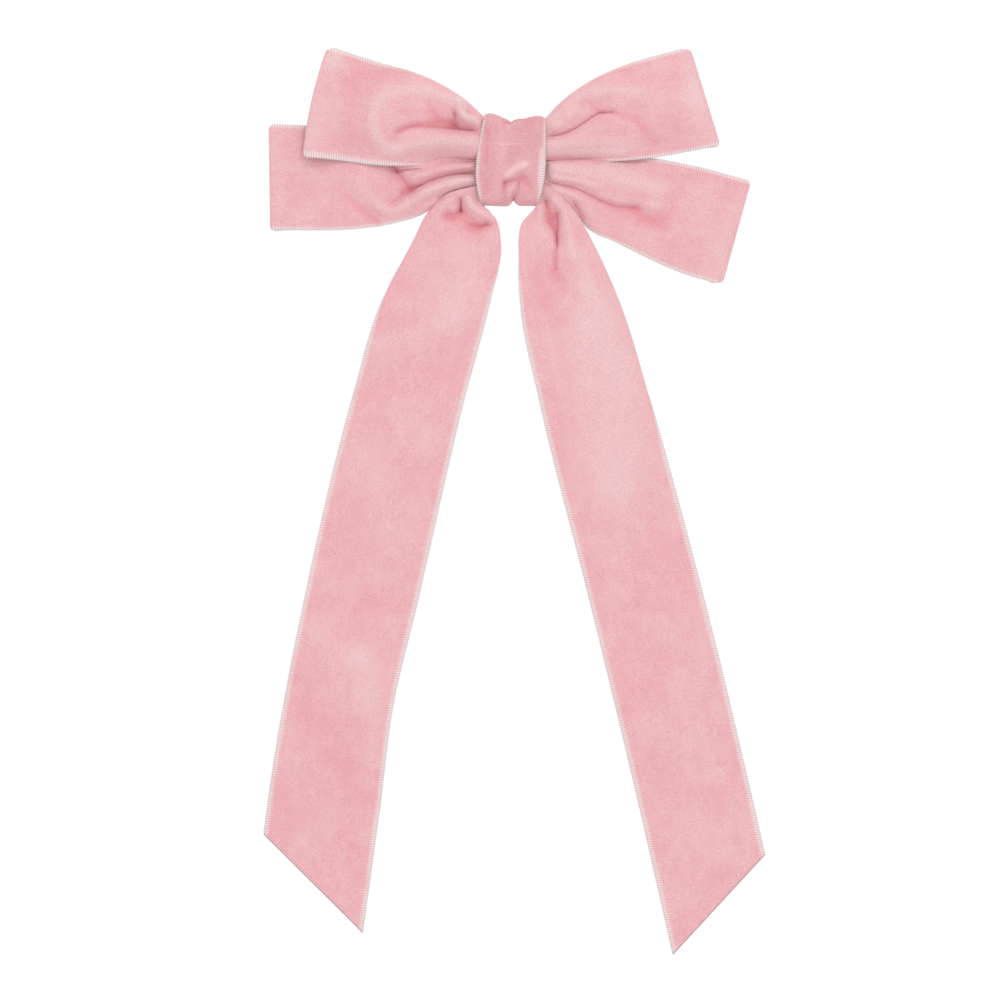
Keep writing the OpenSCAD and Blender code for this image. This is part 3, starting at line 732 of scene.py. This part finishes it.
lower_right = loop_grid(
    low=[(8, -7.4), (11.4, -8.2), (14.4, -11.0), (19.7, -15.9), (25.1, -22.6), (34.2, -26.9),
         (45, -32.2), (55.7, -36.8), (68.6, -40.7)],
    top=[(8, -0.6), (11.4, -0.4), (20, 0.0), (30, 0.3), (43, 0.9), (58.4, -1.6), (78.0, -6.6)],
    front=LOWER_FRONT, back=LOWER_BACK, drop=(0.8, 0.4),
    strokes=[
        # the long crease from the wrap, under an overhanging lip, and the curl that ends it, with
        # painted shade in the crease and hollows and a painted highlight on the lip and curl
        ([(10.7, -6.9), (15.4, -8.0), (20.4, -9.2), (24.2, -10.8), (28.6, -13.0), (33.6, -14.8),
          (37.4, -15.3), (40.4, -15.2)], (-1.5, -1.6), (0.3, 0.7), (-0.5, -0.95), 1.5),
        ([(41.4, -16.2), (44.6, -18.4), (48.4, -19.2), (51.8, -17.8), (53.0, -15.6),
          (52.2, -13.6)], (-1.1, -0.6), (1.0, 1.2), (-0.5, -0.7), 1.4),
        ([(43.0, -20.0), (50.0, -21.6)], (-0.5, -0.4), (2.6, 3.0), -0.4),
        ([(28.5, -11.2), (34.9, -13.2), (40.6, -13.6)], (0.5, 0.8), (0.7, 0.8), 0.6),
        ([(45.0, -15.2), (48.4, -15.6)], 0.6, (1.7, 1.8), 0.5),
        ([(26, -16.0), (33, -18.6), (40, -20.6)], -0.3, (1.8, 2.4), -0.3),
        # the broad lobe over it, with a painted highlight
        ([(12.5, -2.6), (20.8, -3.4), (29.5, -4.4), (42.2, -7.4), (50, -10.0)], (2.0, 0.8),
         (2.5, 4.6), 0.75),
        ([(13.0, -5.6), (20.0, -6.6), (29.0, -9.0)], (0.7, 0.4), (0.8, 1.1), 0.5),
        ([(44, -2.0), (52, -3.4)], -0.2, (1.4, 1.6), -0.3),
        # painted shadow along the top edge, where the upper loop lies over it
        ([(12, -0.6), (30, -0.2), (44, -0.4)], -0.2, 0.7, (-0.9, -0.6)),
        # beside the tail: a narrow lobe, a nick with painted shade and a second lobe, the lobes
        # with painted highlights
        ([(13.4, -8.8), (18.4, -10.8), (22.4, -12.8)], (0.9, 0.6), (1.2, 1.3), 0.7),
        ([(20.4, -14.4), (22.8, -18.6)], (-1.3, -0.8), (0.7, 0.8), -0.85, 1.0),
        ([(25.0, -14.4), (26.4, -18.4)], (0.5, 0.4), (1.3, 1.5), 0.6),
        ([(57.0, -20.0), (66.0, -28.0)], (0.4, 0.3), 6.0, 0.35),
    ],
    roll_low=(0.8, 0.3), roll_top=(0.6, 0.5), corners=(2.6, 0.8), seed=11)

upper_sheet, upper_picot = band("upper_bow_ribbon", upper_left, upper_right, flared=0.8)
lower_sheet, lower_picot = band("lower_bow_ribbon", lower_left, lower_right)
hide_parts("upper_ribbon")
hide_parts("lower_ribbon")


# ------------------------------------------------------------------ tails

TAIL_ROWS, TAIL_COLS = 420, 72
BARE_TURNED, BARE_HANGING = 0.2, 1.35    # how wide the selvedge looks in the head and below it
BARE_EASE = 24                           # length over which it opens
# a tail's depth at distances down from the middle of the knot
TAIL_DEPTH = [(6, gather_front + 1.2), (13.5, gather_front + 0.8), (20, gather_front - 0.6),
              (36, gather_front - 0.2), (60, tail_y), (270, tail_y)]


def tail_grid(inner, outer, strokes, seed):
    """A tail from the gather under the wrap to its slanting cut, inner edge to outer edge."""
    t = np.linspace(0, 1, TAIL_ROWS)
    u = 0.55 * t + 0.45 * t ** 2.2          # closer rows in the gathered head
    v = np.linspace(0, 1, TAIL_COLS)[None, :, None]
    xz = curve(inner, u)[:, None] * (1 - v) + curve(outer, u)[:, None] * v
    x, z = xz[..., 0], xz[..., 1]
    below = smooth((-z - 10) / 3.5)         # clear of the wrap
    hanging = smooth((-z - 40) / 60)        # clear of the gathers
    relief, tone = add_strokes(x, z, strokes)
    height = relief * below + (0.25 + 0.75 * hanging) * below * 0.55 * ripple(x, z, 70, seed)
    y = np.interp(-z, *zip(*TAIL_DEPTH)) - height
    return np.stack([x, y, z], axis=-1), tone * below


left_tail_grid, left_tone = tail_grid(
    inner=[(-8.5, -11.5), (-10, -14), (-5.2, -20), (-3.7, -28), (-7.2, -46), (-15.9, -79),
           (-31.1, -145), (-39.5, -181), (-43.3, -210.6), (-49.3, -254.4)],
    outer=[(-9.5, -7.6), (-13.0, -8.7), (-18.3, -9.9), (-21.6, -11.2), (-24.8, -13.6),
           (-28.4, -18.0), (-32.6, -26.3), (-42.8, -46), (-52.9, -79), (-68.6, -145),
           (-80.4, -210.6), (-81.9, -222)],
    strokes=[
        # the crescent under the gathers, the upright crease into it, and the small curled lobe,
        # with painted shade in the crescent and crease and painted highlights on the lobes
        ([(-24.0, -17.2), (-21.6, -19.0), (-18.6, -19.6), (-16.4, -19.9), (-14.4, -21.3),
          (-12.2, -21.8), (-8.2, -20.8)], (-1.2, -2.6), (1.0, 0.6), (-0.8, -1.0), 1.8),
        ([(-16.9, -12.6), (-16.8, -16.8)], (-2.0, -2.6), (0.45, 0.55), -1.0, 1.2),
        ([(-21.0, -18.2), (-18.2, -17.8), (-17.1, -16.4)], (-0.8, -1.2), (1.3, 1.1),
         (-0.5, -0.9)),
        ([(-18.0, -24.0), (-14.6, -23.4), (-11.4, -22.6)], (-0.4, -0.6), 0.9, -0.5, 1.0),
        # painted shadow along the outer edge, where it passes under the lower loop
        ([(-12.5, -9.0), (-18.4, -10.4), (-24.8, -13.8), (-28.2, -17.8)], (-0.5, -0.3), 0.7,
         (-1.0, -0.5)),
        ([(-14.6, -12.4), (-13.4, -15.2), (-9.6, -17.6), (-6.6, -19.8)], (2.0, 0.9), (1.5, 1.4),
         0.7),
        ([(-15.2, -17.8), (-12.4, -20.0)], (-0.5, -0.4), (1.3, 1.2), -0.7),
        ([(-19.6, -12.6), (-22.6, -15.0), (-26.6, -19.6)], (1.4, 0.6), (1.3, 2.0), 0.5),
        ([(-22.5, -14.0), (-20.5, -17.4)], -0.6, 0.9, None, 1.0),
        # gentle waves down its length, paler and deeper by turns: painted highlights on the raised
        # bands and painted shade in the sunken ones
        ([(-18.0, -27.0), (-15.0, -38.0), (-19.0, -50.0)], 0.4, (6.5, 8.5), 0.62),
        ([(-36.0, -40.0), (-31.0, -46.0)], -0.3, 4.4, -0.4),
        ([(-45.0, -61.0), (-33.0, -58.0), (-22.0, -54.0)], 0.4, (6.0, 6.4), (0.6, 0.3)),
        ([(-50.0, -77.0), (-34.0, -74.0), (-16.0, -66.0)], (-0.6, -0.5), 6.4, -0.36),
        ([(-30.0, -90.0), (-27.5, -96.0)], 0.4, 4.6, 0.5),
        ([(-46.0, -94.0), (-43.0, -122.0)], 0.4, (8.5, 9.5), (0.45, 0.38)),
        ([(-59.0, -114.0), (-60.0, -130.0)], (-0.4, -0.3), 4.4, -0.3),
        ([(-60.0, -146.0), (-46.0, -147.0), (-37.0, -147.0)], (-0.4, -0.6), (6.0, 4.6),
         (-0.25, -0.5)),
        ([(-64.0, -157.0), (-54.0, -162.0)], 0.4, (4.6, 6.0), 0.4),
        ([(-49.0, -165.0), (-47.0, -177.0)], 0.4, 7.0, 0.62),
        ([(-72.0, -164.0), (-70.0, -178.0)], -0.3, 6.0, -0.3),
        ([(-64.0, -187.0), (-56.0, -198.0), (-48.0, -211.0)], -0.7, (8.0, 6.0), -0.45),
        ([(-77.0, -204.0), (-74.0, -220.0)], -0.2, 4.4, -0.35),
        ([(-54.0, -222.0), (-50.0, -238.0)], -0.3, (6.0, 5.0), -0.4),
    ],
    seed=21)

right_tail_grid, right_tone = tail_grid(
    inner=[(8, -10.5), (8.4, -13.1), (2.8, -21.5), (2.0, -33), (2.8, -49.4), (8.8, -79),
           (25.4, -145), (41.2, -210.6), (52.8, -261.6)],
    outer=[(9, -6.8), (11.6, -8.2), (19.6, -15.8), (27.7, -29.6), (35.0, -46), (45.3, -79),
           (63.2, -145), (79.0, -210.6), (83.1, -228.6)],
    strokes=[
        # the pointed pocket under the wrap's corner, and the crease that falls from it, with
        # painted shade in them
        ([(11.0, -13.6), (11.8, -17.0), (12.8, -19.8)], (-1.8, -1.6), (0.6, 1.2), -0.95, 1.2),
        ([(12.9, -19.6), (14.0, -23.0), (14.6, -27.4)], (-1.6, -1.2), (1.0, 0.5), -0.95, 0.8),
        ([(15.2, -17.4), (15.0, -22.0), (14.8, -29.0), (14.6, -35.6)], (-1.6, -1.0), 0.35,
         (-0.7, -0.6), 1.6),
        ([(13.4, -30.6), (13.6, -34.0)], (-0.6, -0.5), 0.9, -0.5),
        # the soft hollow that the crease runs out into, with painted shade
        ([(13.6, -37.0), (17.6, -41.0), (18.0, -43.0)], (-0.6, -0.4), (2.0, 3.4), -0.6),
        ([(8.6, -38.0), (11.6, -49.0)], -0.3, (5.0, 5.4), -0.5),
        # the flap beside it that overlaps, and the inner lobe, with painted highlights on them and
        # painted shade in a dent
        ([(12.4, -10.6), (16.9, -17.4), (18.6, -26.5), (19.6, -31)], (1.6, 0.5), (1.5, 2.0), 0.7),
        ([(22.6, -32.0), (24.0, -42.0)], (0.7, 0.5), (2.6, 4.0), 0.65),
        ([(9.4, -15.4), (9.2, -19.8), (10.6, -25.0)], (1.2, 0.4), (1.1, 1.4), 0.75),
        ([(5.6, -20.5), (4.6, -28)], (-0.4, -0.2), (1.6, 2.2), -0.3),
        # gentle waves down its length, paler and deeper by turns: painted highlights on the raised
        # bands and painted shade in the sunken ones
        ([(28.0, -50.0), (34.0, -66.0), (40.0, -96.0)], 0.4, (8.6, 9.5), (0.8, 0.6)),
        ([(20.0, -58.0), (25.0, -86.0), (30.0, -108.0)], 0.3, (8.0, 9.0), 0.5),
        ([(36.0, -110.0), (40.0, -128.0)], 0.3, 9.0, (0.4, 0.3)),
        ([(24.0, -120.0), (28.0, -142.0)], -0.3, 4.4, -0.25),
        ([(54.0, -130.0), (59.0, -150.0)], -0.3, 5.4, -0.3),
        ([(34.0, -162.0), (39.0, -182.0)], -0.4, (6.0, 5.6), -0.42),
        ([(49.0, -160.0), (52.0, -170.0)], -0.3, 4.4, -0.3),
        ([(64.0, -158.0), (62.0, -172.0)], 0.3, 5.6, 0.42),
        ([(58.0, -186.0), (66.0, -202.0)], 0.3, 6.0, 0.32),
        ([(47.0, -204.0), (53.0, -214.0)], -0.4, (6.6, 7.0), -0.38),
        ([(76.0, -230.0), (68.0, -228.0)], 0.3, 5.6, 0.4),
        ([(58.0, -246.0), (55.0, -256.0)], -0.3, (5.4, 4.4), -0.35),
    ],
    seed=27)


def tail(side, grid, tone, pile_side, turned_to):
    """A tail and its edge loops.

    The gathers turn its selvedges under, down to the heights in turned_to, inner edge first."""
    name = side + "_hanging_ribbon"
    edges = list(zip((0, -1), turned_to))
    bare = [lerp(BARE_TURNED, BARE_HANGING, smooth((start - grid[:, j, 2]) / BARE_EASE))
            for j, start in edges]
    sheet = cloth_sheet(name, grid, tone, velvet_cloth, body=None, near_edge=bare[0],
                        far_edge=bare[1], sealed=True, pile_side=pile_side)
    edge = picot_edge(name + "_picot", grid, picot_thread, body=None,
                      skip=[start / grid[-1, j, 2] for j, start in edges])
    for piece in (sheet, edge):
        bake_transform(piece)
    return sheet, edge


left_sheet, left_picot = tail("left", left_tail_grid, left_tone, -1, (-28, -40))
right_sheet, right_picot = tail("right", right_tail_grid, right_tone, 1, (-28, -78))
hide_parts("tail_left", "tail_fold")
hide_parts("tail_right")


# ------------------------------------------------------------------ centre wrap

WRAP_ROWS, WRAP_COLS = 170, 46


def wrap_profile():
    """The wrap's path round the gather and the base bar, as (y, z) points."""
    slack, front_inner_r, back_inner_r = 0.2, 3.0, 0.6
    outwards = CLOTH_T / 2 + slack / 2
    front_r, back_r = front_inner_r + outwards, back_inner_r + outwards
    front_y = wrap_front + CLOTH_T + slack + front_inner_r
    front_z = wrap_high[2] - front_r - CLOTH_T / 2
    back_y = wrap_high[1] - CLOTH_T / 2 - back_r
    back_z = box_mm("base_bar")[1][2] + slack - back_inner_r
    arcs = [(front_y, -front_z, front_r, 180, 270), (back_y, -back_z, back_r, 290, 360),
            (back_y, back_z, back_r, 0, 70), (front_y, front_z, front_r, 90, 180)]
    points = []
    for y, z, r, start, end in arcs:
        for a in np.radians(np.linspace(start, end, 14)):
            points.append((y + r * math.cos(a), z + r * math.sin(a)))
    points.append(points[0])
    return np.array(points)


def curve_at(z, points):
    """Value at each z of a smooth line through (z, value) points."""
    t = np.linspace(0, 1, 200)
    line = curve(points, t)
    return np.interp(z, line[:, 0], line[:, 1])


def wrap_grid():
    """The wrap's points (round it, across it, xyz) and its tone, which carries painted shade and
    highlights.

    Where it faces the viewer it has creases, and its edges follow two lines. Its top and bottom
    are notched."""
    profile = wrap_profile()
    length = arc_length(profile)
    s = np.linspace(0, length[-1], WRAP_ROWS, endpoint=False)
    yz = np.stack([np.interp(s, length, profile[:, k]) for k in range(2)], axis=1)
    tangent = unit(np.gradient(yz, axis=0))
    out = np.stack([tangent[:, 1], -tangent[:, 0]], axis=1)
    out *= np.sign(np.sum(out * (yz - yz.mean(axis=0)), axis=1, keepdims=True))
    v = np.linspace(-1, 1, WRAP_COLS)
    y, z = yz[:, :1], yz[:, 1:]
    facing = smooth((-y + wrap_front + 7) / 5)        # 1 where it faces the viewer
    left_edge = curve_at(z, [(-15, -10.4), (-6, -11.9), (3, -11.4), (15, -9.2)])
    right_edge = curve_at(z, [(-15, 8.4), (-6, 10.4), (4, 10.9), (15, 11.0)])
    left, right = lerp(-wrap_half_w, left_edge, facing), lerp(wrap_half_w, right_edge, facing)
    x = left + (right - left) * (v + 1) / 2
    top = smooth((z - 9) / 5)
    bottom = smooth((-z - 9) / 5)
    lift = curve_at(x, [(-13, -1.0), (-9.6, 0.1), (-6.6, 0.4), (-3.6, -0.7), (-1.4, -2.0),
                        (-0.4, -2.7), (0.6, -2.0), (3.6, -1.3), (9.0, -0.3), (13, -1.0)]) * top
    lift += -1.9 * np.exp(-((x - 0.3) / 1.1) ** 2) * bottom
    dents = [
        # a soft curl in the cloth low on the wrap, with the crease under it: a painted highlight
        # on the curl and painted shade in the creases
        ([(-1.8, -5.2), (0.9, -3.2), (4.2, -1.6)], (0.8, 0.7), (1.2, 1.4), 1.0),
        ([(-2.3, -7.2), (0.3, -6.8), (3.0, -5.7)], (-1.2, -0.9), (0.5, 0.6), -0.8, 1.4),
        ([(-1.4, -11.6), (-0.5, -9.6), (0.9, -8.2)], (0.9, 0.7), 0.9, 0.8),
        ([(-2.8, -7.8), (-2.7, -10.8)], (-0.9, -0.6), (0.4, 0.6), -0.7, 1.0),
        ([(1.9, -7.6), (1.6, -11.6)], (-0.6, -0.7), (0.6, 0.8), -0.5),
        # the top notch's short crease with painted shade, and painted highlights on the rise
        # beside it and on a fine line across the wrap
        ([(-0.4, 13.6), (-1.4, 12.0), (-2.6, 11.2)], (-0.9, -0.3), 0.6, -0.6, 1.0),
        ([(0.6, 11.6), (-1.8, 10.4)], (0.5, 0.4), 1.2, 0.9),
        ([(-8.6, 5.4), (-2, 5.0), (4, 5.2)], (-0.12, -0.1), 0.4, 0.5),
        # painted shade down the left side and low on the right, and painted highlights along the
        # right edge and left of the middle
        ([(-8.0, 9.0), (-8.6, -1.0)], -0.2, 1.6, -0.7),
        ([(-8.8, -7.0), (-8.6, -10.4)], -0.3, 1.8, -0.6),
        ([(4.6, -7.4), (6.6, -9.4)], -0.3, (2.0, 2.2), -0.6),
        ([(5.4, 9.6), (6.8, 11.6)], -0.2, 2.4, -0.4),
        ([(9.4, 3.0), (9.2, -4.0), (8.4, -10.4)], 0.2, (1.0, 1.2), 0.8),
        ([(-4.0, 1.0), (-3.0, 4.0)], 0.2, 3.0, 0.35)]
    relief, tone = add_strokes(x, z * np.ones_like(x), dents)
    height = relief * facing + 0.25 * (1 - v ** 2) + 0.12 * ripple(x, z + y, 9, 33)
    height -= 0.5 * np.maximum(0, np.abs(v) - 0.85) / 0.15
    rise = lift + height
    grid = np.stack([x, y + out[:, :1] * rise, z + out[:, 1:] * rise], axis=-1)
    # painted shade in the notches at the top and bottom, where the cloth dips
    return grid, tone * facing + np.minimum(0, lift) * 0.35


wrap_points, wrap_tone = wrap_grid()
wrap_far = 1.0 + 0.9 * np.exp(-((wrap_points[:, -1, 2] + 3.4) / 5.5) ** 2)
wrap_sheet = cloth_sheet("knot_wrap", wrap_points, wrap_tone, wrap_cloth, closed=True,
                         width=2 * wrap_half_w, far_edge=wrap_far)
ring = np.concatenate([wrap_points, wrap_points[:1]])
wrap_picot = picot_edge("knot_wrap_picot", ring, picot_thread)
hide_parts("centre_wrap")


# ------------------------------------------------------------------ binding thread

def binding_turns():
    """Turns of thread round the gather, kept inside the wrap and its pinched middle."""
    low, high = box_mm("binding_thread")
    outline = wrap_profile()
    outline = outline[outline[:, 1] > 0]
    outline = outline[outline[:, 0].argsort()]
    turns, steps = 6, 40
    thread_r, wrap_room, notch_room, notch_w = 0.28, 1.8, 2.7, 3.4
    t = np.linspace(0, turns, turns * steps + 1)
    angle = 2 * np.pi * t
    y_mid, y_half = (low[1] + high[1]) / 2, (high[1] - low[1]) / 2 - 0.3
    soft = lambda w: np.sign(w) * np.abs(w) ** 0.55
    x = lerp(low[0] + 0.5, high[0] - 0.5, t / turns) + 0.2 * np.sin(5 * angle / 3)
    y = y_mid + y_half * soft(np.cos(angle))
    room = np.interp(y, outline[:, 0], outline[:, 1]) - wrap_room
    room -= notch_room * np.exp(-(x / notch_w) ** 2)
    points = np.stack([x, y, np.clip(high[2] * soft(np.sin(angle)), -room, room)], axis=1)
    verts, faces = tube(points, thread_r, 6)
    return new_mesh("gather_binding", verts, faces, sewing_thread)


binding = binding_turns()
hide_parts("binding_thread")


# ------------------------------------------------------------------ stage, light and camera

bow_y = tail_y * MM


def floor():
    """A pale matt sheet well below the bow."""
    material, graph, principled = shader("pale_floor")
    feed(graph, principled, {"Base Color": shade((0.93, 0.93, 0.93)), "Roughness": 0.9})
    half = 0.85
    z = cad_bounds[0][2] - 0.12
    mesh = bpy.data.meshes.new("floor")
    mesh.from_pydata([(-half, -half, z), (half, -half, z), (half, half, z), (-half, half, z)], [],
                     [(0, 1, 2, 3)])
    mesh.materials.append(material)
    piece = bpy.data.objects.new("floor", mesh)
    bpy.context.scene.collection.objects.link(piece)


def area_light(name, place, aim, size, power):
    data = bpy.data.lights.new(name, "AREA")
    data.shape = "DISK"
    data.size = size
    data.energy = power
    lamp = bpy.data.objects.new(name, data)
    lamp.location = place
    lamp.rotation_euler = (Vector(aim) - Vector(place)).to_track_quat("-Z", "Y").to_euler()
    bpy.context.scene.collection.objects.link(lamp)


def world(strength):
    sky = bpy.data.worlds.new("studio")
    sky.use_nodes = True
    graph = sky.node_tree
    feed(graph, graph.nodes["Background"], {"Color": (1, 1, 1, 1), "Strength": strength})
    bpy.context.scene.world = sky


def camera():
    """Square on to the bow, from as far back as a long product lens."""
    width, distance = 0.329, 1.5          # of the view at the bow, and to the bow
    middle_x, middle_z = -0.0041, -0.1119
    data = bpy.data.cameras.new("camera")
    data.lens = data.sensor_width * distance / width
    data.clip_start = 0.01
    data.clip_end = 60
    eye = bpy.data.objects.new("camera", data)
    eye.location = (middle_x, bow_y - distance, middle_z)
    eye.rotation_euler = (math.radians(90), 0, 0)
    bpy.context.scene.collection.objects.link(eye)
    bpy.context.scene.camera = eye


floor()
world(1.02)
bow = (0, bow_y, -0.05)
area_light("key", (0.55, -1.2, 1.15), bow, size=0.5, power=6)
area_light("fill", (-1.1, -1.2, 0.25), bow, size=0.9, power=1.5)
area_light("back", (0.4, 1.4, 0.8), bow, size=0.8, power=4)
camera()
bpy.context.scene.view_settings.view_transform = "Standard"
